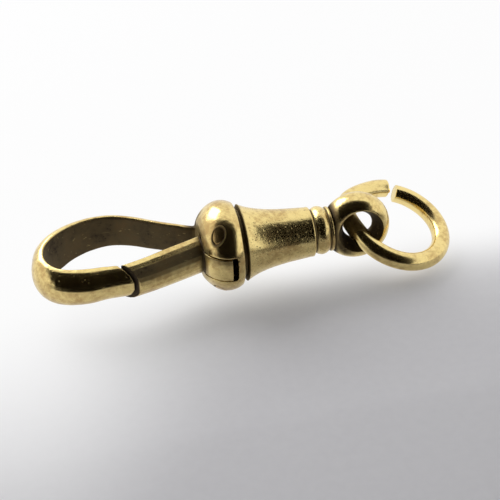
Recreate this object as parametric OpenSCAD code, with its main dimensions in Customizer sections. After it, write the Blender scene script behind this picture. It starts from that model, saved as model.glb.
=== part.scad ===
// Swivel snap hook of the kind used on watch chains: an egg-shaped bulb carries a
// fixed arm and a sprung gate that together close a pear-shaped loop, a turned
// barrel is pressed on behind it, and an eye with a loose ring turns in its end.
// Millimetres, +Z up. The swivel axis runs along X and the loop lies in the XY plane.
// The origin is the hook's seat, where the load bears in the bow.

/* [Bulb] */
// Largest diameter of the bulb
bulb_d = 6.0; // [5.6:0.1:6.8]
// Half the length that the bulb's egg shape would have if nothing were cut off
bulb_half_len = 2.06; // [2.0:0.02:2.4]
// Distance from the bulb's middle to its flat front face
bulb_front = 1.62; // [1.5:0.02:1.8]
// Distance from the bulb's middle to its back edge
bulb_back = 0.85; // [0.7:0.05:1.0]
// Distance from the hook's seat to the bulb's middle
loop_reach = 11.7; // [10.5:0.1:13]

/* [Loop] */
// Width of the space inside the loop
loop_inside_w = 5.2; // [4.6:0.1:6]
// Half width of the band at the bow, where it is widest
bow_half_w = 1.5; // [1.2:0.05:1.7]
// Half width of the fixed arm's band
arm_half_w = 1.15; // [0.95:0.05:1.3]
// Thickness of the fixed arm's band
arm_t = 0.9; // [0.8:0.05:1.1]
// Thickness of the bow, where it is stoutest
bow_t = 1.15; // [0.95:0.05:1.3]
// Thickness of the near arm
near_t = 1.25; // [1.1:0.05:1.4]
// Distance from the hook's seat to its tip, along the inside of the loop
tip_reach = 4.32; // [4.2:0.02:4.6]

/* [Gate] */
// Half width of the gate where it meets the bulb
gate_half_w = 1.36; // [1.2:0.02:1.45]
// Thickness of the gate
gate_t = 1.3; // [1.1:0.05:1.4]
// Width of the slot in the bulb that holds the gate's lever
slot_w = 1.73; // [1.5:0.05:1.9]
// Clearance at each side of the lever in its slot
lever_gap = 0.05; // [0.03:0.01:0.1]
// Gap between the gate's end and the hook's tip at the inside of the loop
tip_gap = 0.06; // [0.04:0.01:0.12]
// Angle by which that gap opens towards the outside of the loop
tip_opening_deg = 14; // [8:1:18]
// Length of the open gap in the bulb's skin behind the lever
heel_gap = 0.36; // [0.2:0.02:0.5]

/* [Pin and spring] */
// Diameter of the hinge pin
pin_d = 0.72; // [0.6:0.02:0.9]
// Distance from the swivel axis to the hinge pin
pin_offset = 1.77; // [1.6:0.01:1.9]
// Running clearance around the hinge pin in the gate
pin_gap = 0.03; // [0.02:0.01:0.06]
// Diameter of the spring bore through the bulb, its spigot and the barrel
bore_d = 2.6; // [2.4:0.05:2.8]
// Wire diameter of the gate spring
spring_wire_d = 0.26; // [0.2:0.02:0.3]
// Turns of the gate spring
spring_turns = 7; // [5:1:9]

/* [Barrel] */
// Diameter of the barrel's flared mouth
flare_d = 5.16; // [4.9:0.02:5.5]
// Diameter of the barrel's waist, at its small end
waist_d = 3.3; // [3.1:0.05:3.6]
// Distance from the bulb's middle to the barrel's flared mouth
barrel_start = 1.15; // [1.05:0.05:1.3]
// Length of the barrel without the bead and flange at its end
barrel_len = 4.65; // [4.4:0.05:5.4]
// Diameter of the bead at the barrel's end
bead_d = 3.24; // [3.0:0.02:3.4]
// Diameter of the thin flange at the barrel's end
flange_d = 3.0; // [2.8:0.02:3.2]
// Diameter of the neck between the bulb and the barrel
neck_d = 4.5; // [4.2:0.05:4.8]
// Diameter of the hook's spigot that the barrel is pressed on
spigot_d = 3.5; // [3.4:0.05:3.6]
// Length of the spigot
spigot_len = 1.45; // [1.0:0.05:1.6]

/* [Swivel] */
// Outer diameter of the eye
eye_d = 4.6; // [4.4:0.02:4.8]
// Thickness of the eye, which is a fat bead rather than a flat ring
eye_t = 2.1; // [1.8:0.05:2.3]
// Diameter of the eye's hole where it is narrowest, half way through
eye_waist_d = 2.02; // [2.0:0.02:2.1]
// Diameter to which the eye's hole widens at both faces
eye_mouth_d = 3.06; // [3.0:0.02:3.2]
// Diameter of the swivel shank
shank_d = 1.0; // [0.9:0.02:1.2]
// Running clearance around the shank, and between the eye and the flange
swivel_gap = 0.06; // [0.04:0.01:0.1]
// Diameter of the shank's riveted head
head_d = 1.7; // [1.6:0.02:1.76]
// Thickness of the washer under the riveted head
washer_t = 0.2; // [0.15:0.01:0.25]

/* [Jump ring] */
// Diameter of the ring's wire
ring_wire_d = 1.22; // [1.1:0.02:1.22]
// Diameter of the ring, measured through the middle of its wire
ring_d = 6.36; // [6.2:0.02:6.6]
// Angle that the open gap takes out of the ring
ring_gap_deg = 14; // [4:1:18]
// How far the ring's two ends stand out of line, one above the other
ring_spread = 0.36; // [0:0.04:0.6]

/* [Hidden] */
$fn = 96;

brass = "#b8923f";
dark_brass = "#8f7434";
steel = "#8a8a88";

bulb_r = bulb_d / 2;
bore_r = bore_d / 2;
press_gap = 0.01;
cut = 0.02;
far = 8;

// Places along the loop, from the bulb's middle: the seat in the bow, the far arm's
// crown and its root, and the inner faces of the near arm and the far arm
seat_x = -loop_reach;
crown_x = seat_x + 4.6;
root_x = seat_x + 9.1;
near_y = -1.75;
far_y = loop_inside_w + near_y;

// The hook's tip and the gate's end meet on a slanted face between these two points
tip_in = [seat_x + tip_reach, near_y - 0.05];
tip_out = tip_in + [0.75, -1.05];
tip_angle = atan2(tip_out.y - tip_in.y, tip_out.x - tip_in.x);

// The inside of the loop, seen from above, as [x, y] from the bulb's middle, with
// the band's thickness and half width there. It starts in the bulb, follows the
// fixed arm out to the bow and comes back along the near arm to the hook's tip.
HOOK_LINE = [
    [-0.9, 0.85, arm_t, arm_half_w - 0.15],
    [-1.95, 1.05, arm_t, arm_half_w - 0.12],
    [root_x - 0.4, far_y - 1.97, arm_t, arm_half_w - 0.03],
    [root_x - 1.8, far_y - 1.23, arm_t, arm_half_w],
    [crown_x + 1.3, far_y - 0.42, arm_t, arm_half_w + 0.04],
    [crown_x, far_y, arm_t, arm_half_w + 0.08],
    [crown_x - 1.3, far_y - 0.12, arm_t + 0.08, arm_half_w + 0.16],
    [seat_x + 2.1, far_y - 0.62, bow_t - 0.05, bow_half_w - 0.1],
    [seat_x + 1.15, far_y - 1.33, bow_t, bow_half_w],
    [seat_x + 0.4, far_y - 2.12, bow_t - 0.1, bow_half_w],
    [seat_x + 0.05, far_y - 2.9, bow_t - 0.23, bow_half_w],
    [seat_x + 0.02, near_y + 1.5, bow_t - 0.2, bow_half_w - 0.05],
    [seat_x + 0.35, near_y + 0.75, bow_t - 0.1, bow_half_w - 0.1],
    [seat_x + 1.05, near_y + 0.2, near_t - 0.1, bow_half_w - 0.15],
    [seat_x + 2.3, near_y - 0.03, near_t, bow_half_w - 0.2],
    [tip_in.x - 0.7, near_y, near_t - 0.08, bow_half_w - 0.28],
    [tip_in.x + 1.4, near_y - 0.2, near_t - 0.35, bow_half_w - 0.35],
];

// The gate's shoulders stand just in front of the bulb's front face
shoulder_gap = 0.1;
shoulder_x = -(bulb_front + shoulder_gap);
shoulder_y = -0.28;

// The gate's inner face, from beyond the hook's tip back into the bulb
GATE_LINE = [
    [tip_in.x - 0.8, near_y - 0.42, gate_t, gate_half_w - 0.1],
    [tip_in.x + 0.5, near_y - 0.2, gate_t - 0.02, gate_half_w - 0.07],
    [tip_in.x + 1.7, near_y + 0.12, gate_t - 0.02, gate_half_w - 0.05],
    [tip_in.x + 2.9, near_y + 0.52, gate_t, gate_half_w - 0.02],
    [shoulder_x - 1.45, near_y + 0.97, gate_t, gate_half_w],
    [shoulder_x, shoulder_y, gate_t, gate_half_w],
    [-0.7, shoulder_y + 0.3, gate_t, gate_half_w],
];

// Hinge of the gate
pin_x = -0.66;
pin_y = -pin_offset;

// Lever: the part of the gate inside the bulb
lever_w = slot_w - 2 * lever_gap;
lever_top = 0.45;
slot_top = 0.7;
heel_r = bore_r - 0.1;
heel_len = 0.4;
bore_front = -0.5;

// The pocket in the bulb's front face that the gate's shoulders swing into
pocket_depth = 0.48;
pocket_gap = 0.06;
pocket_swing = 0.34;

// Barrel, along the swivel axis
neck_r = neck_d / 2;
spigot_end = barrel_start + spigot_len;
waist_x = barrel_start + barrel_len;
bead_x = waist_x + 0.2;
bead_len = 0.85;
flange_x = bead_x + bead_len + 0.12;
flange_t = 0.2;
barrel_end = flange_x + flange_t;
flare_decay = 1.1;
waist_taper = 0.28;

// Swivel inside the barrel
shank_r = shank_d / 2;
cavity_r = head_d / 2 + 0.1;
cavity_end = bead_x;
cavity_len = 1.3;
spring_seat_x = cavity_end - cavity_len;
washer_x = cavity_end - swivel_gap - washer_t;
head_t = 0.45;
head_x = washer_x - head_t;

// Eye: its hole lies a little off its middle, away from the shank, and it has
// stopped a few degrees away from upright
eye_r = eye_d / 2;
eye_waist_r = eye_waist_d / 2;
eye_mouth_r = eye_mouth_d / 2;
eye_reach = 1.7;
eye_cut_x = barrel_end + swivel_gap;
eye_x = eye_cut_x + eye_reach;
eye_hole_x = eye_x + 0.12;
eye_turn = 5;

// Ring: its wire lies low in the eye's hole and a little towards the shank, just
// clear of it, and its far side lies near the level of the bottom of the bulb
wire_r = ring_wire_d / 2;
ring_r = ring_d / 2;
ring_tilt = 22;
ring_yaw = -42;
ring_at_eye_deg = 228.5;
ring_gap_at_deg = 126.5;
ring_sag = 0.13;
ring_to_shank = 0.08;
ring_in_eye = [eye_hole_x - ring_to_shank, 0, -ring_sag];

function lerp(a, b, t) = a + (b - a) * t;

// One point of a smooth curve through p1 and p2, led by their neighbours
function curve_point(p0, p1, p2, p3, t) =
    0.5 * (2 * p1 + (p2 - p0) * t + (2 * p0 - 5 * p1 + 4 * p2 - p3) * t * t
           + (3 * p1 - p0 - 3 * p2 + p3) * t * t * t);

// The rows of a line, with new rows on a smooth curve between them
function smooth_rows(line, steps) = let (last = len(line) - 1) [
    for (i = [0:last - 1])
        for (k = [0:steps - 1])
            curve_point(line[max(i - 1, 0)], line[i], line[i + 1],
                        line[min(i + 2, last)], k / steps),
    line[last]
];

// A D-shaped section as [depth from the flat inner face, height] for a thickness
// and half width, with its two inner corners taken off
section_step = 14;
section_corner = 0.1;
function d_section(t, w) = concat(
    [[0, -(w - section_corner)]],
    [for (a = [-84:section_step:84]) [t * cos(a), w * sin(a)]],
    [[0, w - section_corner]]
);

// A band that follows a line, with its flat face inwards
module band(line) {
    rows = smooth_rows(line, 4);
    n = len(rows);
    ring = d_section(1, 1);
    m = len(ring);
    points = [
        for (i = [0:n - 1])
            let (
                before = rows[max(i - 1, 0)],
                after = rows[min(i + 1, n - 1)],
                dx = after.x - before.x,
                dy = after.y - before.y,
                length = sqrt(dx * dx + dy * dy),
                out = [dy / length, -dx / length]
            )
            for (q = d_section(rows[i][2], rows[i][3]))
                [rows[i].x + out.x * q[0], rows[i].y + out.y * q[0], q[1]]
    ];
    sides = [
        for (i = [0:n - 2])
            for (j = [0:m - 1])
                let (
                    a = i * m + j,
                    b = i * m + (j + 1) % m
                )
                each [[a, b, b + m], [a, b + m, a + m]]
    ];
    start_cap = [for (j = [m - 1:-1:0]) j];
    end_cap = [for (j = [0:m - 1]) (n - 1) * m + j];
    polyhedron(points, concat(sides, [start_cap], [end_cap]), convexity = 10);
}

// Puts a shape that is drawn from the bulb's middle into the part's frame
module from_bulb() {
    translate([loop_reach, 0, 0]) children();
}

// Turns a profile of [distance along the swivel axis, radius] about that axis
module turned(profile) {
    rotate([0, 90, 0])
        rotate_extrude()
            polygon([for (p = profile) [p[1], p[0]]]);
}

// A round bar along the swivel axis from x0 to x1
module bar(x0, x1, r) {
    translate([x0, 0, 0]) rotate([0, 90, 0]) cylinder(h = x1 - x0, r = r);
}

function egg_r(x) = bulb_r * sqrt(1 - pow(x / bulb_half_len, 2));

// The bulb's egg shape between two distances from its middle
module egg(x0, x1) {
    steps = 28;
    turned(concat(
        [[x0, 0]],
        [for (i = [0:steps]) let (x = lerp(x0, x1, i / steps)) [x, egg_r(x)]],
        [[x1, 0]]
    ));
}

// Everything on the gate's side of the face where tip and gate meet
module beyond_tip(gap, extra_deg) {
    translate([tip_in.x + gap, tip_in.y, -far / 2])
        rotate([0, 0, tip_angle + extra_deg])
            translate([-far / 4, 0, 0])
                cube([far / 2, far / 2, far]);
}

// Everything on the hook's side of that face
module before_tip(gap, extra_deg) {
    translate([tip_in.x + gap, tip_in.y, -far / 2])
        rotate([0, 0, tip_angle + extra_deg])
            translate([-far / 4, -far / 2, 0])
                cube([far / 2, far / 2, far]);
}

// The hole for the hinge pin, with a gap all round it
module pin_hole(gap) {
    translate([pin_x, pin_y, -far / 2]) cylinder(h = far, r = pin_d / 2 + gap);
}

// Where the gate's shoulders swing: the gate's section from its rest to its full
// opening, sunk into the bulb's front face
module shoulder_pocket() {
    translate([-bulb_front - cut, 0, 0])
        rotate([90, 0, 90])
            linear_extrude(height = pocket_depth + cut)
                hull()
                    for (inner = [shoulder_y + pocket_gap, shoulder_y + pocket_swing])
                        polygon([for (q = d_section(gate_t, gate_half_w + pocket_gap))
                            [inner - q[0], q[1]]]);
}

// One forging: the bulb, its fixed arm, the bow and the tip, with the slot for the
// gate and a hollow spigot behind
module hook() {
    color(brass) from_bulb() difference() {
        union() {
            egg(-bulb_front, bulb_back);
            bar(bulb_back - cut, barrel_start, neck_r);
            bar(bulb_back - cut, spigot_end, spigot_d / 2);
            difference() {
                band(HOOK_LINE);
                beyond_tip(0, 0);
            }
        }
        translate([-far / 2, -far / 2, -slot_w / 2])
            cube([far / 2 + heel_gap, far / 2 + slot_top, slot_w]);
        shoulder_pocket();
        bar(bore_front, far, bore_r);
        pin_hole(press_gap);
    }
}

// The hinged arm: a D-shaped bar whose end is cut down to a lever in the bulb
module gate() {
    color(brass) from_bulb() difference() {
        union() {
            difference() {
                band(GATE_LINE);
                before_tip(tip_gap, tip_opening_deg);
                for (side = [-1, 1])
                    translate([shoulder_x, -far / 2, side * (lever_w / 2 + far / 2) - far / 2])
                        cube([far, far, far]);
            }
            intersection() {
                egg(-bulb_front, 0);
                translate([-far / 2, -far / 2, -lever_w / 2])
                    cube([far / 2, far / 2 + lever_top, lever_w]);
            }
            intersection() {
                bar(-heel_len, 0, heel_r);
                translate([-heel_len, -heel_r, -lever_w / 2])
                    cube([heel_len, 2 * heel_r, lever_w]);
            }
        }
        pin_hole(pin_gap);
    }
}

// The hinge pin, riveted over and filed flush with the bulb
module gate_pin() {
    color(dark_brass) from_bulb() intersection() {
        translate([pin_x, pin_y, -far / 2]) cylinder(h = far, r = pin_d / 2);
        egg(-bulb_front, bulb_back);
    }
}

// The coil spring between the gate's heel and the shoulder in the barrel
module gate_spring() {
    wire_r = spring_wire_d / 2;
    coil_r = bore_r - 0.05 - wire_r;
    start = 0.02 + wire_r;
    end = spring_seat_x - 0.02 - wire_r;
    rings = spring_turns * 18;
    m = 8;
    points = [
        for (i = [0:rings])
            let (
                s = i / rings,
                ends = min(1, min(s, 1 - s) * spring_turns),
                x = lerp(start, end, s < 0.5 ? max(0, s - 0.5 / spring_turns * ends)
                                             : min(1, s + 0.5 / spring_turns * ends)),
                a = 360 * spring_turns * s
            )
            for (j = [0:m - 1])
                let (
                    b = 360 * j / m,
                    r = coil_r + wire_r * cos(b)
                )
                [x + wire_r * sin(b), r * cos(a), r * sin(a)]
    ];
    sides = [
        for (i = [0:rings - 1])
            for (j = [0:m - 1])
                let (
                    p = i * m + j,
                    q = i * m + (j + 1) % m
                )
                each [[p, q, q + m], [p, q + m, p + m]]
    ];
    start_cap = [for (j = [m - 1:-1:0]) j];
    end_cap = [for (j = [0:m - 1]) rings * m + j];
    color(steel) from_bulb()
        polyhedron(points, concat(sides, [start_cap], [end_cap]), convexity = 20);
}

// The barrel's outside, from its flared mouth to its waist
function flare_r(x) =
    let (
        fall = exp(-(x - barrel_start) / flare_decay),
        tail = exp(-barrel_len / flare_decay)
    )
    lerp(waist_d / 2 + waist_taper * (waist_x - x) / barrel_len, flare_d / 2, (fall - tail) / (1 - tail));

// The turned sleeve behind the bulb, with a bead and a thin flange at its end
module barrel() {
    steps = 20;
    bead_steps = 8;
    bead_dip = 0.16;
    shoulder = 0.03;
    color(brass) from_bulb() difference() {
        turned(concat(
            [[barrel_start, 0]],
            [for (i = [0:steps])
                let (x = lerp(barrel_start, waist_x - 0.12, i / steps)) [x, flare_r(x)]],
            [[waist_x, waist_d / 2 + shoulder], [waist_x + 0.06, waist_d / 2 - 0.1],
             [bead_x - 0.04, waist_d / 2 - 0.2]],
            [for (i = [0:bead_steps])
                [bead_x + bead_len * i / bead_steps,
                 bead_d / 2 - bead_dip * pow(2 * i / bead_steps - 1, 2)]],
            [[flange_x, bead_d / 2 - 0.22], [flange_x + 0.03, flange_d / 2],
             [barrel_end - 0.03, flange_d / 2], [barrel_end, flange_d / 2 - 0.05],
             [barrel_end, 0]]
        ));
        bar(barrel_start - cut, spigot_end + cut, spigot_d / 2 + press_gap);
        bar(barrel_start - cut, spring_seat_x, bore_r);
        bar(barrel_start - cut, cavity_end, cavity_r);
        bar(barrel_start - cut, far, shank_r + swivel_gap);
    }
}

// The eye's hole: narrowest half way through and flared towards both faces
module eye_hole() {
    land = 0.1;
    flare = (eye_mouth_r - eye_waist_r) / (eye_t / 2 - land);
    over = 1;
    turned([
        [-eye_t / 2 - over, 0],
        [-eye_t / 2 - over, eye_mouth_r + over * flare],
        [-land, eye_waist_r],
        [land, eye_waist_r],
        [eye_t / 2 + over, eye_mouth_r + over * flare],
        [eye_t / 2 + over, 0],
    ]);
}

// The eye, forged in one with the shank that is riveted over inside the barrel
module swivel_eye() {
    bulge = eye_r - eye_mouth_r;
    color(brass) from_bulb() union() {
        rotate([-eye_turn, 0, 0]) difference() {
            translate([eye_x, 0, 0])
                rotate([0, 0, 90])
                    turned(concat(
                        [[-eye_t / 2, 0]],
                        [for (a = [-90:10:90])
                            [eye_t / 2 * sin(a), eye_mouth_r + bulge * cos(a)]],
                        [[eye_t / 2, 0]]
                    ));
            translate([eye_hole_x, 0, 0]) rotate([0, 0, 90]) eye_hole();
            translate([eye_cut_x - far, -far / 2, -far / 2]) cube(far);
        }
        bar(head_x + 0.1, eye_cut_x + cut, shank_r);
        turned([[head_x, 0], [head_x, head_d / 2 - 0.28], [head_x + 0.12, head_d / 2 - 0.08],
                [head_x + 0.26, head_d / 2], [washer_x - 0.02, head_d / 2],
                [washer_x - 0.02, 0]]);
    }
}

// The washer between the riveted head and the end of the barrel's cavity
module swivel_washer() {
    color(dark_brass) from_bulb() difference() {
        bar(washer_x, washer_x + washer_t, head_d / 2 + 0.02);
        bar(washer_x - cut, washer_x + washer_t + cut, shank_r + swivel_gap);
    }
}

// The open ring of round wire, lying as it fell, with its ends sprung apart
module jump_ring() {
    steps = 72;
    m = 20;
    start = ring_gap_at_deg + ring_gap_deg / 2;
    sweep = 360 - ring_gap_deg;
    eye_share = (ring_at_eye_deg - start) / sweep;
    points = [
        for (i = [0:steps])
            let (a = start + sweep * i / steps)
            for (j = [0:m - 1])
                let (
                    b = 360 * j / m,
                    r = ring_r + wire_r * cos(b)
                )
                [r * cos(a), r * sin(a), wire_r * sin(b) - ring_spread * (i / steps - eye_share)]
    ];
    sides = [
        for (i = [0:steps - 1])
            for (j = [0:m - 1])
                let (
                    p = i * m + j,
                    q = i * m + (j + 1) % m
                )
                each [[p, q + m, q], [p, p + m, q + m]]
    ];
    start_cap = [for (j = [0:m - 1]) j];
    end_cap = [for (j = [m - 1:-1:0]) steps * m + j];
    color(brass) from_bulb()
        translate(ring_in_eye)
            rotate([0, ring_tilt, ring_yaw])
                translate(-ring_r * [cos(ring_at_eye_deg), sin(ring_at_eye_deg), 0])
                    polyhedron(points, concat(sides, [start_cap], [end_cap]), convexity = 10);
}

hook();
gate();
gate_pin();
gate_spring();
barrel();
swivel_eye();
swivel_washer();
jump_ring();
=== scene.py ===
"""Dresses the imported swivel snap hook: worn brass, a steel spring, soft studio light."""
import logging
import math
from collections.abc import Callable
from dataclasses import dataclass
from enum import Enum

import bpy
from mathutils import Matrix, Quaternion, Vector


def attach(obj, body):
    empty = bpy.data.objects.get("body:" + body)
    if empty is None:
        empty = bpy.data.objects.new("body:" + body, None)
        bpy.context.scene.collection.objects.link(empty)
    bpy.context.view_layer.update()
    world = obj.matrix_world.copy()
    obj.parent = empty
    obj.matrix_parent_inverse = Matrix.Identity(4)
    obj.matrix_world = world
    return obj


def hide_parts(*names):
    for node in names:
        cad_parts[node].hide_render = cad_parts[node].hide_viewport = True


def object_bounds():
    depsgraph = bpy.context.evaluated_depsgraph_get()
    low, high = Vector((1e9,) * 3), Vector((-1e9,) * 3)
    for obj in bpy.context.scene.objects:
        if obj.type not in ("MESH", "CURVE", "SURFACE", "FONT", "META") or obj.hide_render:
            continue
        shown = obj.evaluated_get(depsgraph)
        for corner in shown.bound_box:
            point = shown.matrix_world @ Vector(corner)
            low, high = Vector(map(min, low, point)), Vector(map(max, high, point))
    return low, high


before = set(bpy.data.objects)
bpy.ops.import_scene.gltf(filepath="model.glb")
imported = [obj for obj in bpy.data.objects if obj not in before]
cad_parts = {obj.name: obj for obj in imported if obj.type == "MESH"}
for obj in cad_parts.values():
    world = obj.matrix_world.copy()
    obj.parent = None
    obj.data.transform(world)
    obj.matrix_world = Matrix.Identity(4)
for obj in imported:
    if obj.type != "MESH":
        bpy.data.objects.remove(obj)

LOG = logging.getLogger("snap_hook")

MM = 0.001
CAD_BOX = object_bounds()
SEAT_TO_BULB = 11.7
WHITE = (1.0, 1.0, 1.0, 1.0)
UP = (0.0, 0.0, 1.0)
MERGE_MM = 0.0005
SMOOTH_FACTOR = 0.5
DENT_ZERO = 0.7
SCRATCH_STRETCH = (0.05, 1.0, 1.0)
SCRATCH_EDGE = 0.08
MIX_FACTOR, MIX_FIRST, MIX_SECOND, MIX_COLOUR = 0, 6, 7, 2
# Painted shade on faces that look down or aside.
UNDERSIDE_SHADE = 0.16
UNDERSIDE_TURN = (-0.4, 0.5)


class Profile(Enum):
    """Which way a ring of points is turned before it is drawn out along an axis."""

    ALONG_X = (0.0, math.radians(90), 0.0)
    ALONG_Y = (math.radians(90), 0.0, 0.0)


class Value:
    """A shader socket that can be used in Python expressions."""

    def __init__(self, sheet: "NodeSheet", socket: bpy.types.NodeSocket) -> None:
        """Wrap a socket.

        Args:
            sheet: The sheet that new nodes go on.
            socket: The output socket that holds the value.
        """
        self.sheet = sheet
        self.socket = socket

    def _math(self, operation: str, *operands: object) -> "Value":
        """Add a Math node and return its result."""
        return self.sheet.node("ShaderNodeMath", {"operation": operation}, dict(enumerate(operands)))

    def __add__(self, other: object) -> "Value":
        """Add."""
        return self._math("ADD", self, other)

    def __radd__(self, other: object) -> "Value":
        """Add to a number."""
        return self._math("ADD", other, self)

    def __sub__(self, other: object) -> "Value":
        """Subtract."""
        return self._math("SUBTRACT", self, other)

    def __rsub__(self, other: object) -> "Value":
        """Subtract from a number."""
        return self._math("SUBTRACT", other, self)

    def __mul__(self, other: object) -> "Value":
        """Multiply."""
        return self._math("MULTIPLY", self, other)

    def clamped(self) -> "Value":
        """Return the value kept between 0 and 1."""
        return self.sheet.node("ShaderNodeClamp", {}, {0: self})

    def ramp(self, low: float, high: float) -> "Value":
        """Return 0 at low, 1 at high and a smooth change between.

        Args:
            low: Where the result is 0.
            high: Where it is 1; it may be below low.

        Returns:
            The smooth step.
        """
        settings = {"interpolation_type": "SMOOTHSTEP"}
        return self.sheet.node("ShaderNodeMapRange", settings, {0: self, 1: low, 2: high})


class NodeSheet:
    """The node tree of a material or of the world, with one method that adds any node."""

    def __init__(self, owner: bpy.types.ID) -> None:
        """Empty the owner's node tree.

        Args:
            owner: The material or the world.
        """
        owner.use_nodes = True
        self.owner = owner
        self.tree = owner.node_tree
        self.tree.nodes.clear()

    def node(self, kind: str, settings: dict, inputs: dict, output: object = 0) -> Value:
        """Add a node.

        Args:
            kind: The node's Blender type.
            settings: Its properties, set before its sockets.
            inputs: Socket name or number to a number, a colour or a Value.
            output: Which output to return.

        Returns:
            The chosen output, or an empty Value where the node has no outputs.
        """
        made = self.tree.nodes.new(kind)
        for name, setting in settings.items():
            setattr(made, name, setting)
        for name, given in inputs.items():
            socket = made.inputs[name]
            if isinstance(given, Value):
                self.tree.links.new(given.socket, socket)
            else:
                socket.default_value = given
        return Value(self, made.outputs[output] if made.outputs else None)

    def place(self) -> Value:
        """Return the point's place in the object's own frame, in metres."""
        return self.node("ShaderNodeTexCoord", {}, {}, "Object")

    def attribute(self, name: str) -> Value:
        """Return a number that the mesh holds for each of its points."""
        return self.node("ShaderNodeAttribute", {"attribute_name": name}, {}, "Fac")

    def noise(self, place: Value, per_mm: float, detail: float, roughness: float = 0.55) -> Value:
        """Add a cloudy noise.

        Args:
            place: Where to read it.
            per_mm: How many patches fit in a millimetre.
            detail: How many finer layers it has.
            roughness: How strong the finer layers are.

        Returns:
            A value around 0.5.
        """
        inputs = {"Vector": place, "Scale": per_mm / MM, "Detail": detail, "Roughness": roughness}
        return self.node("ShaderNodeTexNoise", {}, inputs, 0)

    def pits(self, place: Value, per_mm: float, size: float) -> Value:
        """Add small round pits.

        Args:
            place: Where to read them.
            per_mm: How many fit in a millimetre.
            size: A pit's reach, as a share of the distance between pits.

        Returns:
            1 in the middle of a pit and 0 between pits.
        """
        inputs = {"Vector": place, "Scale": per_mm / MM, "Randomness": 1.0}
        return self.node("ShaderNodeTexVoronoi", {"feature": "F1"}, inputs, 0).ramp(size, 0.0)

    def scratches(self, place: Value, turn_deg: tuple, per_mm: float, level: float) -> Value:
        """Add fine long scratches in one direction.

        Args:
            place: Where to read them.
            turn_deg: How their direction is turned about X, Y and Z.
            per_mm: How many lie side by side in a millimetre.
            level: The noise level above which a scratch shows.

        Returns:
            1 in a scratch and 0 between scratches.
        """
        rotation = tuple(math.radians(angle) for angle in turn_deg)
        inputs = {"Vector": place, "Rotation": rotation, "Scale": SCRATCH_STRETCH}
        turned = self.node("ShaderNodeMapping", {}, inputs)
        lines = self.noise(turned, per_mm, detail=2.0, roughness=0.7)
        return lines.ramp(level, level + SCRATCH_EDGE)

    def blend(self, factor: object, first: object, second: object) -> Value:
        """Mix two colours.

        Args:
            factor: 0 gives the first and 1 the second.
            first: A colour or a Value.
            second: A colour or a Value.

        Returns:
            The mixed colour.
        """
        pair = [c if isinstance(c, Value) else (*c, 1.0) for c in (first, second)]
        inputs = {MIX_FACTOR: factor, MIX_FIRST: pair[0], MIX_SECOND: pair[1]}
        return self.node("ShaderNodeMix", {"data_type": "RGBA"}, inputs, MIX_COLOUR)

    def bump(self, height: Value, depth_mm: float) -> Value:
        """Turn a height into a normal.

        Args:
            height: The height, from 0 to 1.
            depth_mm: How deep the relief is.

        Returns:
            The bent normal.
        """
        return self.node("ShaderNodeBump", {}, {"Height": height, "Distance": depth_mm * MM})

    def finish(self, inputs: dict) -> bpy.types.Material:
        """Add the surface shader and the output.

        Args:
            inputs: The surface shader's sockets.

        Returns:
            The finished material.
        """
        self.end(self.node("ShaderNodeBsdfPrincipled", {}, inputs))
        return self.owner

    def end(self, shader: Value, kind: str = "ShaderNodeOutputMaterial") -> None:
        """Join a shader to the tree's output.

        Args:
            shader: What the surface or the sky shows.
            kind: The output node's Blender type.
        """
        self.node(kind, {}, {"Surface": shader})


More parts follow.
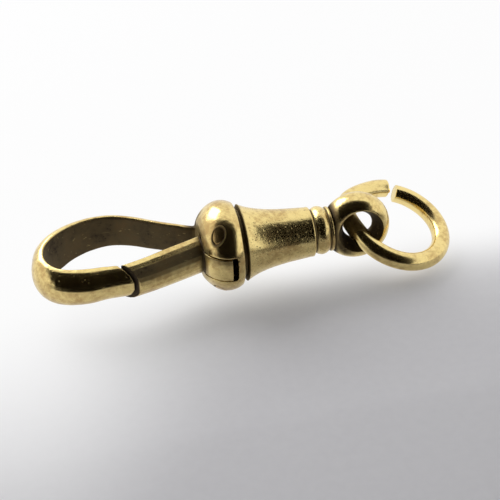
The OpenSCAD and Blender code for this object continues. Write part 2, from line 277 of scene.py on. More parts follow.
@dataclass(frozen=True)
class AgedBrass:
    """Old brass: rubbed bright where it is handled, pitted all over, darkened by painted shade in
    the hollows.
    """

    name: str
    rubbed: tuple = (0.86, 0.68, 0.29)
    tarnished: tuple = (0.48, 0.31, 0.12)
    # The patina colour, which both the pits' dirt and the painted shade take.
    patina_and_shade: tuple = (0.060, 0.038, 0.018)
    polish: float = 0.16
    pitting: float = 0.5
    relief_mm: float = 0.02
    grain: float = 0.2
    tarnish: float = 0.45
    tarnish_share: float = 0.85
    dirt_and_shade_spread: float = 0.9
    pit_dirt: float = 0.45
    scratch_shine: tuple = (0.35, 0.3)
    dull_roughness: float = 0.04
    dirt_and_shade_roughness: float = 0.5
    grain_roughness: float = 0.08
    dirt_and_shade_metal_loss: float = 0.45
    mottle_height: float = 0.45
    pit_depth: float = 1.1
    speck_depth: float = 0.5
    scratch_depth: tuple = (0.3, 0.25)

    def material(self) -> bpy.types.Material:
        """Build the finish.

        Returns:
            The material, which reads the mesh's grime attribute.
        """
        sheet = NodeSheet(bpy.data.materials.new(self.name))
        place = sheet.place()
        clouds = sheet.noise(place, per_mm=0.5, detail=4.0)
        mottle = sheet.noise(place, per_mm=2.6, detail=4.0, roughness=0.65)
        grain = sheet.noise(place, per_mm=9.0, detail=3.0, roughness=0.7)
        # This attribute paints shade into hollows, gaps, creases and undersides, and dark
        # reflections onto some flanks.
        shade_and_dirt = sheet.attribute("shade_and_dirt")
        patches = clouds * 0.6 + mottle * 0.4
        more_pits = 0.3 * self.pitting
        pit_field = patches.ramp(0.62 - more_pits, 0.72 - more_pits)
        pits = (sheet.pits(place, per_mm=4.2, size=0.34) * pit_field).clamped()
        specks = (sheet.pits(place, per_mm=8.5, size=0.3) * pit_field).clamped()
        scratch = sheet.scratches(place, turn_deg=(0.0, 0.0, 22.0), per_mm=5.0, level=0.66)
        cross = sheet.scratches(place, turn_deg=(12.0, 35.0, -48.0), per_mm=4.0, level=0.68)
        more_tarnish = 0.25 * self.tarnish
        dull = (clouds * 0.5 + mottle * 0.5).ramp(0.47 + more_tarnish, 0.23 + more_tarnish)
        # Painted shade, made patchy, and the pits' dirt darken the colour towards patina, roughen it
        # and take off some metal.
        spread = (patches - 0.5) * shade_and_dirt * self.dirt_and_shade_spread
        dark = (shade_and_dirt + spread + pits * self.pit_dirt).clamped()
        colour = sheet.blend(dull * self.tarnish_share, self.rubbed, self.tarnished)
        colour = sheet.blend(dark, colour, self.patina_and_shade)
        scratch_shine, cross_shine = self.scratch_shine
        shine = (scratch * scratch_shine + cross * cross_shine).clamped()
        colour = sheet.blend(shine, colour, self.rubbed)
        rough = self.polish + dull * self.dull_roughness + dark * self.dirt_and_shade_roughness
        scratch_depth, cross_depth = self.scratch_depth
        height = (grain * self.grain + mottle * self.mottle_height
                  + (1.0 - pits) * self.pit_depth + (1.0 - specks) * self.speck_depth
                  - scratch * scratch_depth - cross * cross_depth)
        return sheet.finish({
            "Base Color": colour,
            "Metallic": 1.0 - dark * self.dirt_and_shade_metal_loss,
            "Roughness": rough + (grain - 0.5) * self.grain_roughness,
            "Normal": sheet.bump(height, self.relief_mm),
        })


@dataclass(frozen=True)
class DrawnSteel:
    """Grey spring steel with a thin film of oil."""

    name: str
    steel: tuple = (0.42, 0.42, 0.43)
    stain: tuple = (0.16, 0.12, 0.09)
    polish: float = 0.28
    stain_roughness: float = 0.2
    relief_mm: float = 0.006

    def material(self) -> bpy.types.Material:
        """Build the finish.

        Returns:
            The material.
        """
        sheet = NodeSheet(bpy.data.materials.new(self.name))
        place = sheet.place()
        stains = sheet.noise(place, per_mm=1.2, detail=4.0).ramp(0.5, 0.7)
        grain = sheet.noise(place, per_mm=14.0, detail=2.0)
        return sheet.finish({
            "Base Color": sheet.blend(stains, self.steel, self.stain),
            "Metallic": 1.0,
            "Roughness": self.polish + stains * self.stain_roughness,
            "Normal": sheet.bump(grain, self.relief_mm),
        })


def deselect_all() -> None:
    """Leave nothing selected and no object in edit mode."""
    if bpy.context.mode != "OBJECT":
        bpy.ops.object.mode_set(mode="OBJECT")
    bpy.ops.object.select_all(action="DESELECT")


def make_active(piece: bpy.types.Object) -> None:
    """Select one piece and nothing else."""
    deselect_all()
    piece.select_set(True)
    bpy.context.view_layer.objects.active = piece


def apply_modifier(piece: bpy.types.Object, kind: str, settings: dict) -> None:
    """Add a modifier and apply it.

    Args:
        piece: The piece.
        kind: The modifier's type.
        settings: Its properties.
    """
    make_active(piece)
    modifier = piece.modifiers.new(kind.title(), kind)
    for name, setting in settings.items():
        setattr(modifier, name, setting)
    bpy.ops.object.modifier_apply(modifier=modifier.name)


def merge_and_face_out(piece: bpy.types.Object, distance: float) -> None:
    """Merge doubled points and turn every face outwards.

    Args:
        piece: The piece.
        distance: Points closer than this are one.
    """
    make_active(piece)
    bpy.ops.object.mode_set(mode="EDIT")
    bpy.ops.mesh.select_all(action="SELECT")
    bpy.ops.mesh.remove_doubles(threshold=distance)
    bpy.ops.mesh.normals_make_consistent(inside=False)
    bpy.ops.object.mode_set(mode="OBJECT")


def resize_mesh(piece: bpy.types.Object, factor: float) -> None:
    """Scale a piece's mesh about the origin and leave its object unscaled."""
    make_active(piece)
    bpy.ops.transform.resize(value=(factor, factor, factor), center_override=(0.0, 0.0, 0.0))
    bpy.ops.object.transform_apply(location=True, rotation=True, scale=True)


def dent(piece: bpy.types.Object, size_mm: float, depth_mm: float) -> None:
    """Press a shallow random relief into a mesh that is in millimetres.

    Args:
        piece: The piece.
        size_mm: How wide the dents are.
        depth_mm: How deep they are.
    """
    pattern = bpy.data.textures.new(f"{piece.name}_dents", "CLOUDS")
    pattern.noise_scale = size_mm
    apply_modifier(piece, "DISPLACE", {
        "texture": pattern, "texture_coords": "LOCAL",
        "strength": depth_mm, "mid_level": DENT_ZERO})


def write_shade_and_dirt(piece: bpy.types.Object, rule: Callable[[Vector, Vector], float]) -> None:
    """Store how dark each point is painted, for shade and dirt, from a rule on its place and normal.

    Args:
        piece: The finished piece, in metres.
        rule: Takes a place in millimetres and a normal and returns 0 to 1.
    """
    mesh = piece.data
    layer = mesh.attributes.new("shade_and_dirt", "FLOAT", "POINT")
    amounts = [min(1.0, max(0.0, rule(v.co / MM, v.normal))) for v in mesh.vertices]
    layer.data.foreach_set("value", amounts)


def fade(value: float, low: float, high: float) -> float:
    """Return 0 at low, 1 at high and a straight line between."""
    return min(1.0, max(0.0, (value - low) / (high - low)))


def underside(normal: Vector) -> float:
    """Return the thin painted shade of a face that looks down or aside."""
    return UNDERSIDE_SHADE * fade(-normal.z, *UNDERSIDE_TURN)


def direction(bearing_deg: float, height_deg: float) -> Vector:
    """Return the direction towards a place in front of the part.

    Args:
        bearing_deg: How far it is turned from straight in front, -Y, towards -X.
        height_deg: How far it is raised from the table.

    Returns:
        A vector of length 1.
    """
    turn, rise = math.radians(bearing_deg), math.radians(height_deg)
    across, ahead = math.sin(turn) * math.cos(rise), math.cos(turn) * math.cos(rise)
    return Vector((-across, -ahead, math.sin(rise)))


@dataclass
class ForgedPiece:
    """A piece whose CAD solid is copied, rounded over as a forging is, and dented."""

    node: str
    body: str
    finish: AgedBrass
    voxel_mm: float = 0.06
    smoothing: int = 4
    last_smoothing: int = 2
    dent_width_mm: float = 1.3
    dent_mm: float = 0.03
    seam_at: tuple = (5.2, -2.5)
    seam_reach: float = 1.0

    def build(self) -> bpy.types.Object:
        """Build, dress and seat the piece.

        Returns:
            The finished piece.
        """
        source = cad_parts[self.node]
        piece = bpy.data.objects.new(f"{self.node}_worn", source.data.copy())
        bpy.context.scene.collection.objects.link(piece)
        piece.data.materials.clear()
        resize_mesh(piece, 1.0 / MM)
        merge_and_face_out(piece, MERGE_MM)
        apply_modifier(piece, "REMESH", {"mode": "VOXEL", "voxel_size": self.voxel_mm})
        for point in piece.data.vertices:
            point.co = self.shape(point.co)
        self.round_over(piece)
        dent(piece, self.dent_width_mm, self.dent_mm)
        resize_mesh(piece, MM)
        bpy.ops.object.shade_smooth()
        write_shade_and_dirt(piece, self.shade_and_dirt)
        piece.data.materials.append(self.finish.material())
        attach(piece, self.body)
        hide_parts(self.node)
        LOG.info("%s: %d faces", piece.name, len(piece.data.polygons))
        return piece

    def round_over(self, piece: bpy.types.Object) -> None:
        """Smooth the mesh, in millimetres, and leave the seam between tip and gate crisp."""
        seam_x, seam_y = self.seam_at
        away = piece.vertex_groups.new(name="away")
        points = [v.index for v in piece.data.vertices
                  if math.hypot(v.co.x - seam_x, v.co.y - seam_y) > self.seam_reach]
        away.add(points, 1.0, "REPLACE")
        apply_modifier(piece, "SMOOTH", {
            "factor": SMOOTH_FACTOR, "iterations": self.smoothing, "vertex_group": away.name})
        piece.vertex_groups.clear()
        apply_modifier(piece, "SMOOTH", {
            "factor": SMOOTH_FACTOR, "iterations": self.last_smoothing})

    def shape(self, point: Vector) -> Vector:
        """Return where a point of the mesh, in millimetres, belongs before it is smoothed."""
        return point

    def shade_and_dirt(self, place: Vector, normal: Vector) -> float:
        """Return how dark a point is painted, for shade and dirt."""
        return 0.0


@dataclass
class HookForging(ForgedPiece):
    """The bulb, fixed arm, bow and tip."""

    loop_middle: tuple = (2.9, 0.8)
    loop_turn: tuple = (0.45, 0.8)
    loop_to_bulb: tuple = (10.2, 9.8)
    tip_stretch: float = 0.25
    stretch_bands: tuple = ((3.6, 5.0), (8.0, 7.0), (1.8, 2.85))
    tip_bands: tuple = ((3.2, 3.8), (8.0, 7.5), (-0.8, -1.3))
    seam_turn: tuple = (0.5, 0.75)
    pin_at: tuple = (11.04, -1.77)
    rivet_band: tuple = (0.52, 0.43)
    groove_band: tuple = (SEAT_TO_BULB + 0.8, SEAT_TO_BULB + 0.95)
    core_bands: tuple = ((2.3, 1.7), (9.9, 10.3))
    root_at: tuple = (10.0, 1.4)
    root_band: tuple = (0.8, 0.3)

    def shape(self, point: Vector) -> Vector:
        """The tip's outer edge reaches further over the gate's end than its inner edge."""
        start, end, outer = self.stretch_bands
        on_tip = fade(point.x, *start) * fade(point.x, *end) * fade(-point.y, *outer)
        return point + Vector((self.tip_stretch * on_tip, 0.0, 0.0))

    def shade_and_dirt(self, place: Vector, normal: Vector) -> float:
        """Return painted shade for hollows, gaps and undersides, and a dark rivet rim."""
        middle_x, middle_y = self.loop_middle
        inward = Vector((max(middle_x - place.x, 0.0), middle_y - place.y, 0.0)).normalized()
        in_loop = fade(normal.dot(inward), *self.loop_turn) * fade(place.x, *self.loop_to_bulb)
        start, end, lower = self.tip_bands
        tip = fade(place.x, *start) * fade(place.x, *end) * fade(place.y, *lower)
        seam = fade(normal.x, *self.seam_turn) * tip
        (pin_x, pin_y), (root_x, root_y) = self.pin_at, self.root_at
        rivet = fade(math.hypot(place.x - pin_x, place.y - pin_y), *self.rivet_band)
        groove = fade(place.x, *self.groove_band)
        near_axis, in_bulb = self.core_bands
        inside = fade(math.hypot(place.y, place.z), *near_axis) * fade(place.x, *in_bulb)
        root = fade(math.hypot(place.x - root_x, place.y - root_y), *self.root_band)
        # Painted shade: the loop's inside, the tip's end at the seam, the slot, the arm's root, the
        # groove and faces that look down; the rivet's rim is dark.
        return max(0.87 * in_loop, 0.8 * groove, inside, 0.95 * root, 0.95 * seam,
                   0.85 * rivet, underside(normal))


@dataclass
class GateLever(ForgedPiece):
    """The hinged arm and its lever."""

    end_stretch: float = 0.14
    stretch_bands: tuple = ((6.8, 5.8), (2.2, 3.0))
    inner_turn: tuple = (0.5, 0.85)
    lever_bands: tuple = ((9.6, 10.1), (2.2, 1.7))
    shoulder_bands: tuple = ((9.7, 9.95), (10.15, 10.05))
    end_bands: tuple = ((0.3, 0.5), (8.0, 7.5), (3.0, 2.88))
    flank_bands: tuple = ((0.0, 0.45), (0.9, 0.75), (0.3, 0.5))

    def shape(self, point: Vector) -> Vector:
        """The end's outer edge reaches out to the tip."""
        along, outer = self.stretch_bands
        on_end = fade(point.x, *along) * fade(-point.y, *outer)
        return point - Vector((self.end_stretch * on_end, 0.0, 0.0))

    def shade_and_dirt(self, place: Vector, normal: Vector) -> float:
        """Paint shade on the inner face, lever, shoulder and end, and a dark reflection on the upper
        flank.
        """
        inner = fade(normal.y, *self.inner_turn)
        along, near_axis = self.lever_bands
        in_bulb = fade(place.x, *along) * fade(math.hypot(place.y, place.z), *near_axis)
        before, behind = self.shoulder_bands
        shoulder = fade(place.x, *before) * fade(place.x, *behind)
        turn, along, within = self.end_bands
        end = fade(-normal.x, *turn) * fade(place.x, *along) * fade(-place.y, *within)
        # The upper outward flank is darkened as a painted dark reflection.
        lifted, not_top, outward = self.flank_bands
        flank = fade(normal.z, *lifted) * fade(normal.z, *not_top) * fade(-normal.y, *outward)
        return max(0.8 * inner, in_bulb, 0.8 * shoulder, end, 0.86 * flank, underside(normal))


@dataclass
class EyeForging(ForgedPiece):
    """The swivel eye, in one with its shank."""

    centre_x: float = 20.75
    on_axis: float = 0.01
    hole_turn: tuple = (0.2, 0.6)
    foot_band: tuple = (19.35, 19.0)
    lee_bands: tuple = ((20.6, 19.6), (1.0, -0.6), (2.15, 1.7))

    def shade_and_dirt(self, place: Vector, normal: Vector) -> float:
        """Painted shade darkens the hole, the foot and the lower side next to the foot."""
        outward = Vector((place.x - self.centre_x, 0.0, place.z))
        if outward.length < self.on_axis:
            return 1.0
        hole = fade(-normal.dot(outward.normalized()), *self.hole_turn)
        foot = fade(place.x, *self.foot_band)
        along, low, near = self.lee_bands
        lee = fade(place.x, *along) * fade(place.z, *low) * fade(outward.length, *near)
        return max(0.92 * hole, foot, 0.85 * lee, underside(normal))


@dataclass
class TurnedBarrel:
    """The sleeve behind the bulb, drawn out ring by ring as a turner would cut it."""

    finish: AgedBrass
    mouth_x: float = SEAT_TO_BULB + 1.15
    waist_x: float = SEAT_TO_BULB + 5.8
    flare_r: float = 2.58
    waist_r: float = 1.65
    decay: float = 1.1
    taper: float = 0.28
    step: float = 0.06
    sides: int = 216
    merge_mm: float = 0.001
    dents: tuple = ((1.6, 0.03), (0.22, 0.008))
    mouth_rim: tuple = ((0.02, 0.07), (0.05, 0.025))
    groove_wall: tuple = ((-0.06, 1.675), (0.0, 1.665), (0.05, 1.6), (0.09, 1.5), (0.14, 1.46))
    groove_r: float = 1.46
    bead_r: float = 1.62
    bead_drop: float = 0.17
    bead_len: float = 0.85
    bead_steps: int = 12
    flange_rim: tuple = ((-0.06, 1.4), (-0.01, 1.4), (0.01, 1.47), (0.05, 1.497), (0.1, 1.497),
                         (0.15, 1.497), (0.185, 1.47), (0.198, 1.43), (0.199, 1.2),
                         (0.199, 0.62), (0.16, 0.575))
    shank_hole_r: float = 0.57
    head_bore_r: float = 0.94
    head_depth: float = 1.3
    bore_r: float = 1.31
    spigot_depth: float = 1.46
    spigot_bore_r: float = 1.77
    mouth_face: tuple = ((0.1, 1.77), (0.005, 1.8), (0.0, 2.1), (0.004, 2.4))
    mouth_band: tuple = (0.12, 0.02)
    groove_bands: tuple = ((0.13, 0.11, 0.04), (1.13, 0.09, 0.03))
    bore_band: tuple = (1.42, 1.3)

    def flare(self, x: float) -> float:
        """Return the outer radius between the mouth and the waist."""
        length = self.waist_x - self.mouth_x
        fall = math.exp(-(x - self.mouth_x) / self.decay)
        tail = math.exp(-length / self.decay)
        share = (fall - tail) / (1.0 - tail)
        slim = self.waist_r + self.taper * (self.waist_x - x) / length
        return slim + (self.flare_r - slim) * share

    def profile(self) -> list:
        """Return the closed outline as (x, radius), from the mouth round to the bore."""
        mouth, waist = self.mouth_x, self.waist_x
        points = [(mouth + along, self.flare_r - inset) for along, inset in self.mouth_rim]
        x = mouth + 0.1
        while x < waist - 0.14:
            points.append((x, self.flare(x)))
            x += self.step
        bead_x = waist + 0.2
        points += [(waist + along, radius) for along, radius in self.groove_wall]
        points.append((bead_x - 0.02, self.groove_r))
        for i in range(self.bead_steps + 1):
            share = 2.0 * i / self.bead_steps - 1.0
            radius = self.bead_r - self.bead_drop * share * share
            points.append((bead_x + self.bead_len * i / self.bead_steps, radius))
        flange = bead_x + self.bead_len + 0.12
        points += [(flange + along, radius) for along, radius in self.flange_rim]
        head_x, spigot_x = bead_x - self.head_depth, mouth + self.spigot_depth
        points += [(bead_x, self.shank_hole_r), (bead_x, self.head_bore_r),
                   (head_x, self.head_bore_r), (head_x, self.bore_r),
                   (spigot_x, self.bore_r), (spigot_x, self.spigot_bore_r)]
        points += [(mouth + along, radius) for along, radius in self.mouth_face]
        return points

    def build(self) -> bpy.types.Object:
        """Build, dress and seat the barrel.

        Returns:
            The finished piece.
        """
        points = self.profile()
        deselect_all()
        start_x, start_r = points[0]
        bpy.ops.mesh.primitive_circle_add(
            vertices=self.sides, radius=start_r, location=(start_x, 0.0, 0.0),
            rotation=Profile.ALONG_X.value)
        piece = bpy.context.active_object
        piece.name = "barrel_turned"
        bpy.ops.object.transform_apply(location=True, rotation=True, scale=True)
        bpy.ops.object.mode_set(mode="EDIT")
        bpy.ops.mesh.select_all(action="SELECT")
        for (x0, r0), (x1, r1) in zip(points, points[1:] + points[:1]):
            bpy.ops.mesh.extrude_region_move(TRANSFORM_OT_translate={"value": (x1 - x0, 0.0, 0.0)})
            grow = r1 / r0
            bpy.ops.transform.resize(value=(1.0, grow, grow), center_override=(x1, 0.0, 0.0))
        bpy.ops.object.mode_set(mode="OBJECT")
        merge_and_face_out(piece, self.merge_mm)
        for width_mm, depth_mm in self.dents:
            dent(piece, width_mm, depth_mm)
        resize_mesh(piece, MM)
        bpy.ops.object.shade_smooth()
        write_shade_and_dirt(piece, self.shade_and_dirt)
        piece.data.materials.append(self.finish.material())
        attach(piece, "clip")
        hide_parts("barrel")
        LOG.info("%s: %d faces", piece.name, len(piece.data.polygons))
        return piece

    def shade_and_dirt(self, place: Vector, normal: Vector) -> float:
        """Painted shade darkens the mouth's face, the grooves by the bead and the bore."""
        radius = math.hypot(place.y, place.z)
        behind, before = self.mouth_band
        mouth = fade(place.x, self.mouth_x + behind, self.mouth_x + before)
        groove = max(fade(abs(place.x - self.waist_x - at), clean, full)
                     for at, clean, full in self.groove_bands)
        bore = fade(radius, *self.bore_band)
        return max(0.85 * mouth, 0.85 * groove, bore, underside(normal))


@dataclass
class OpenRing:
    """The jump ring: a round wire bent round until its sawn ends nearly meet."""

    finish: AgedBrass
    wire_r: float = 0.61
    ring_r: float = 3.18
    gap_deg: float = 15.5
    gap_at_deg: float = 127.0
    spread: float = 0.36
    at_eye_deg: float = 228.5
    tilt_deg: float = 22.0
    yaw_deg: float = -42.0
    in_eye: tuple = (20.67, 0.0, -0.13)
    sides: int = 56
    steps: int = 420
    bulge: float = 0.6
    bulge_at_deg: float = 200.0
    bulge_reach_deg: float = 27.0
    end_rounding: tuple = ((0.035, 0.975), (0.02, 0.93), (0.0, 0.6))
    end_slack: float = 0.01
    end_reach: float = 1.0
    dent_width_mm: float = 1.5
    dent_mm: float = 0.02
    crease_deg: float = 40.0
    # Painted shade where the ring passes through the eye.
    eye_shade: float = 0.5
    rub_band: tuple = (1.2, 0.6)

    def build(self) -> bpy.types.Object:
        """Build, dress and seat the ring.

        Returns:
            The finished piece.
        """
        deselect_all()
        start = math.radians(self.gap_at_deg + self.gap_deg / 2)
        sweep = 2.0 * math.pi - math.radians(self.gap_deg)
        bpy.ops.mesh.primitive_circle_add(
            vertices=self.sides, radius=self.wire_r, location=(self.ring_r, 0.0, 0.0),
            rotation=Profile.ALONG_Y.value)
        piece = bpy.context.active_object
        piece.name = "jump_ring_bent"
        bpy.ops.object.transform_apply(location=True, rotation=True, scale=True)
        apply_modifier(piece, "SCREW", {
            "axis": "Z", "angle": sweep, "screw_offset": -self.spread, "iterations": 1,
            "steps": self.steps, "render_steps": self.steps, "use_merge_vertices": False})
        for turn, way in ((0.0, -1.0), (sweep, 1.0)):
            self.close_end(piece, turn, way)
        merge_and_face_out(piece, MERGE_MM)
        dent(piece, self.dent_width_mm, self.dent_mm)
        self.spring_out(piece, start)
        eye_share = (math.radians(self.at_eye_deg) - start) / sweep
        lift = Matrix.Translation((0.0, 0.0, self.spread * eye_share))
        piece.data.transform(self.resting_place() @ lift @ Matrix.Rotation(start, 4, "Z"))
        resize_mesh(piece, MM)
        bpy.ops.object.shade_smooth_by_angle(angle=math.radians(self.crease_deg))
        write_shade_and_dirt(piece, self.shade_and_dirt)
        piece.data.materials.append(self.finish.material())
        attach(piece, "ring")
        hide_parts("jump_ring")
        LOG.info("%s: %d faces", piece.name, len(piece.data.polygons))
        return piece

    def close_end(self, piece: bpy.types.Object, turn: float, way: float) -> None:
        """Close one sawn end of the wire with a slightly rounded face.

        Args:
            piece: The open wire, in millimetres.
            turn: The end's angle round the ring.
            way: 1 where the end looks along the turn and -1 where it looks back.
        """
        out = Vector((-math.sin(turn), math.cos(turn), 0.0)) * way
        middle = Vector((self.ring_r * math.cos(turn), self.ring_r * math.sin(turn), 0.0))
        make_active(piece)
        open_points = {i for e in self.open_edges(piece.data) for i in e}
        for point in piece.data.vertices:
            offset = point.co - middle
            at_end = abs(offset.dot(out)) < self.end_slack and offset.length < self.end_reach
            point.select = point.index in open_points and at_end
        bpy.ops.object.mode_set(mode="EDIT")
        bpy.ops.mesh.select_mode(type="VERT")
        rise = -self.spread if turn > 0.0 else 0.0
        centre = middle + Vector((0.0, 0.0, rise))
        for reach, share in self.end_rounding:
            bpy.ops.mesh.extrude_region_move(TRANSFORM_OT_translate={"value": out * reach})
            centre = centre + out * reach
            bpy.ops.transform.resize(value=(share, share, share), center_override=centre)
        bpy.ops.mesh.edge_face_add()
        bpy.ops.object.mode_set(mode="OBJECT")

    def spring_out(self, piece: bpy.types.Object, start: float) -> None:
        """Bend the wire wider behind the eye, where it hides the table in the eye's hole.

        Args:
            piece: The bent wire, in millimetres, with its first end on the X axis.
            start: The angle that the first end is turned to later.
        """
        middle = math.radians(self.bulge_at_deg) - start
        reach = math.radians(self.bulge_reach_deg)
        for point in piece.data.vertices:
            angle = math.atan2(point.co.y, point.co.x) % (2.0 * math.pi)
            out = Vector((point.co.x, point.co.y, 0.0)).normalized()
            point.co += out * self.bulge * math.exp(-((angle - middle) / reach) ** 2)

    @staticmethod
    def open_edges(mesh: bpy.types.Mesh) -> list:
        """Return the edges that only one face uses, as pairs of point numbers."""
        uses = {}
        for face in mesh.polygons:
            for key in face.edge_keys:
                uses[key] = uses.get(key, 0) + 1
        return [key for key, count in uses.items() if count == 1]

    def resting_place(self) -> Matrix:
        """Return the turn and shift that lay the ring in the eye."""
        at_eye = math.radians(self.at_eye_deg)
        to_eye = Vector((self.ring_r * math.cos(at_eye), self.ring_r * math.sin(at_eye), 0.0))
        turn = (Matrix.Rotation(math.radians(self.yaw_deg), 4, "Z")
                @ Matrix.Rotation(math.radians(self.tilt_deg), 4, "Y"))
        return Matrix.Translation(Vector(self.in_eye)) @ turn @ Matrix.Translation(-to_eye)

    def shade_and_dirt(self, place: Vector, normal: Vector) -> float:
        """The ring is handled too much to stay dirty; painted shade darkens it inside the eye."""
        return self.eye_shade * fade((place - Vector(self.in_eye)).length, *self.rub_band)


@dataclass
class PaleTable:
    """A pale table top under the part, with a painted glow that runs out white behind it."""

    half_width: float = 0.6
    white_from: float = -0.027
    white_to: float = 0.002
    whiteness: float = 0.94
    below: float = 0.00002
    paper_dark: tuple = (0.69, 0.683, 0.72)
    paper_light: tuple = (0.74, 0.733, 0.77)
    paper_roughness: float = 0.7
    lean_depth: tuple = (0.003, -0.005)
    lean_side: tuple = (-0.004, 0.016)
    lean_reach: float = 0.016

    def build(self) -> bpy.types.Object:
        """Build the table.

        Returns:
            The table.
        """
        deselect_all()
        level = min(CAD_BOX[0][2], 0.0) - self.below
        bpy.ops.mesh.primitive_plane_add(size=2.0 * self.half_width, location=(0.0, 0.0, level))
        table = bpy.context.active_object
        table.name = "pale_table"
        sheet = NodeSheet(bpy.data.materials.new("table_paper"))
        place = sheet.place()
        fibre = sheet.noise(place, per_mm=1.5, detail=3.0)
        colour = sheet.blend(fibre, self.paper_dark, self.paper_light)
        paper = sheet.node("ShaderNodeBsdfPrincipled", {}, {
            "Base Color": colour, "Roughness": self.paper_roughness})
        glow = sheet.node("ShaderNodeEmission", {}, {"Color": WHITE, "Strength": 1.0})
        # A painted glow by place: white behind the part, fading towards the front and held back on
        # the right near the part so its shadow stays; the camera and reflections see it.
        depth = sheet.node("ShaderNodeSeparateXYZ", {}, {0: place}, "Y")
        side = sheet.node("ShaderNodeSeparateXYZ", {}, {0: place}, "X")
        lean = depth.ramp(*self.lean_depth) * side.ramp(*self.lean_side)
        far = (depth - lean * self.lean_reach).ramp(self.white_from, self.white_to)
        rays = ("Is Camera Ray", "Is Glossy Ray", "Is Transmission Ray")
        camera, glossy, through = (sheet.node("ShaderNodeLightPath", {}, {}, ray) for ray in rays)
        seen = (camera + glossy + through).clamped()
        share = far * seen * self.whiteness
        sheet.end(sheet.node("ShaderNodeMixShader", {}, {0: share, 1: paper, 2: glow}))
        table.data.materials.append(sheet.owner)
        return table


@dataclass
class StudioLight:
    """An even sky, a soft window behind the part, a dark wall card, and a painted dark reflection on
    the table.
    """

    sky: float = 1.05
    sky_tint: tuple = (1.0, 1.0, 0.98, 1.0)
    middle: tuple = (0.012, 0.0, 0.0)
    window_at: tuple = (-0.030, 0.075, 0.060)
    window_size: float = 0.065
    window_brightness: float = 4.2
    wall_bearing_deg: float = 14.0
    wall_height_deg: float = 48.0
    wall_distance: float = 0.135
    wall_half: float = 0.192
    dark_reflection_card_at: tuple = (0.005, -0.094)
    dark_reflection_card_lift: float = 0.0003
    dark_reflection_card_half: float = 0.08
    card_dark: tuple = (0.008, 0.007, 0.005)
    card_light: tuple = (0.016, 0.012, 0.008)

    def lamp(self, name: str, place: tuple, size: float, brightness: float, target: tuple) -> None:
        """Add a square soft lamp.

        Args:
            name: The lamp's name.
            place: Its place, in metres.
            size: Its side, in metres.
            brightness: How bright its face looks, where 1 is white.
            target: What it points at.
        """
        data = bpy.data.lights.new(name, "AREA")
        data.shape = "SQUARE"
        data.size = size
        data.energy = brightness * math.pi * size * size
        lamp = bpy.data.objects.new(name, data)
        lamp.location = place
        aim = Vector(target) - Vector(place)
        lamp.rotation_euler = aim.to_track_quat("-Z", "Y").to_euler()
        bpy.context.scene.collection.objects.link(lamp)

    def card(self, name: str, place: Vector, facing: Vector, half: float, shades: bool) -> None:
        """Stand a dark card by the part, which the metal shows as a dark patch; one that doesn't
        shade is a painted dark reflection.

        Args:
            name: The card's name.
            place: Its middle, in metres.
            facing: The direction that its face looks along.
            half: Half its side.
            shades: Whether it also keeps light off the table and the part.
        """
        deselect_all()
        bpy.ops.mesh.primitive_plane_add(
            size=2.0 * half, location=place, rotation=facing.to_track_quat("Z", "Y").to_euler())
        card = bpy.context.active_object
        card.name = name
        sheet = NodeSheet(bpy.data.materials.new(f"{name}_black"))
        fibre = sheet.noise(sheet.place(), per_mm=0.2, detail=2.0)
        colour = sheet.blend(fibre, self.card_dark, self.card_light)
        card.data.materials.append(sheet.finish({
            "Base Color": colour, "Roughness": 0.9, "Specular IOR Level": 0.0}))
        card.visible_camera = False
        card.visible_diffuse = shades
        card.visible_shadow = shades

    def build(self) -> None:
        """Light the scene."""
        world = bpy.data.worlds.new("even_sky")
        bpy.context.scene.world = world
        sheet = NodeSheet(world)
        camera = sheet.node("ShaderNodeLightPath", {}, {}, "Is Camera Ray")
        seen = sheet.node("ShaderNodeBackground", {}, {"Color": WHITE})
        sky = sheet.node("ShaderNodeBackground", {}, {"Color": self.sky_tint, "Strength": self.sky})
        choice = sheet.node("ShaderNodeMixShader", {}, {0: camera, 1: sky, 2: seen})
        sheet.end(choice, "ShaderNodeOutputWorld")
        self.lamp("window", self.window_at, self.window_size, self.window_brightness, self.middle)
        way = direction(self.wall_bearing_deg, self.wall_height_deg)
        wall_at = Vector(self.middle) + way * self.wall_distance
        self.card("wall_card", wall_at, way, self.wall_half, True)
        # A dark card on the table that only the metal's reflections see: a painted dark reflection.
        card_at = Vector((*self.dark_reflection_card_at, CAD_BOX[0][2] + self.dark_reflection_card_lift))
        self.card("dark_reflection_card", card_at, Vector(UP), self.dark_reflection_card_half, False)


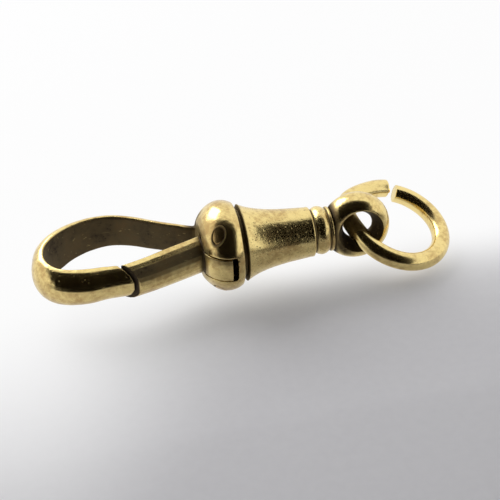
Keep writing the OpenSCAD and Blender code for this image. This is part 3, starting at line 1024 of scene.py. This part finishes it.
@dataclass
class PhotoCamera:
    """The camera at the photograph's viewing angle."""

    distance_mm: float = 104.8
    bearing_deg: float = 10.49
    height_deg: float = 36.4
    aim_x: float = SEAT_TO_BULB + 1.724
    aim_z: float = -0.728
    roll_deg: float = -2.1
    focal_px: float = 1600.0
    frame_px: float = 500.0
    sensor_mm: float = 36.0
    nearest: float = 0.005

    def build(self) -> bpy.types.Object:
        """Place the camera and make it the scene's.

        Returns:
            The camera.
        """
        way = direction(self.bearing_deg, self.height_deg)
        place = Vector((SEAT_TO_BULB, 0.0, 0.0)) + way * self.distance_mm
        aim = Vector((self.aim_x, 0.0, self.aim_z))
        data = bpy.data.cameras.new("photo_camera")
        data.sensor_fit = "HORIZONTAL"
        data.sensor_width = self.sensor_mm
        data.lens = self.sensor_mm * self.focal_px / self.frame_px
        data.clip_start = self.nearest
        camera = bpy.data.objects.new("photo_camera", data)
        look = (aim - place).to_track_quat("-Z", "Y")
        roll = Quaternion(UP, math.radians(self.roll_deg))
        camera.rotation_euler = (look @ roll).to_euler()
        camera.location = place * MM
        bpy.context.scene.collection.objects.link(camera)
        bpy.context.scene.camera = camera
        return camera


def dress_small_nodes() -> None:
    """Give the pin, the spring and the washer their finish; their solids stay as they are."""
    finishes = {
        "gate_pin": AgedBrass("pin_brass", rubbed=(0.46, 0.34, 0.14), tarnish=0.8,
                              relief_mm=0.006, polish=0.2),
        "gate_spring": DrawnSteel("spring_wire"),
        "swivel_washer": AgedBrass("washer_brass", tarnish=0.7),
    }
    for name, finish in finishes.items():
        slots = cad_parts[name].data.materials
        slots.clear()
        slots.append(finish.material())


def main() -> None:
    """Build the scene piece by piece."""
    logging.basicConfig(level=logging.INFO)
    bpy.context.scene.view_settings.view_transform = "Standard"
    PhotoCamera().build()
    hook_finish = AgedBrass("hook_brass", pitting=0.3, tarnish=0.5, relief_mm=0.009, polish=0.19)
    HookForging("hook", "clip", hook_finish).build()
    gate_finish = AgedBrass("gate_brass", pitting=0.3, tarnish=0.5, relief_mm=0.007, polish=0.19)
    GateLever("gate", "gate", gate_finish, voxel_mm=0.04).build()
    barrel_finish = AgedBrass("barrel_brass", pitting=0.8, relief_mm=0.009, grain=0.15, polish=0.23)
    TurnedBarrel(barrel_finish).build()
    eye_finish = AgedBrass("eye_brass", pitting=0.2, tarnish=0.4, relief_mm=0.008, polish=0.19)
    EyeForging("swivel_eye", "swivel", eye_finish, voxel_mm=0.045).build()
    ring_finish = AgedBrass("ring_brass", pitting=0.1, tarnish=0.35, relief_mm=0.006, polish=0.2)
    OpenRing(ring_finish).build()
    dress_small_nodes()
    PaleTable().build()
    StudioLight().build()


if __name__ == "__main__":
    main()
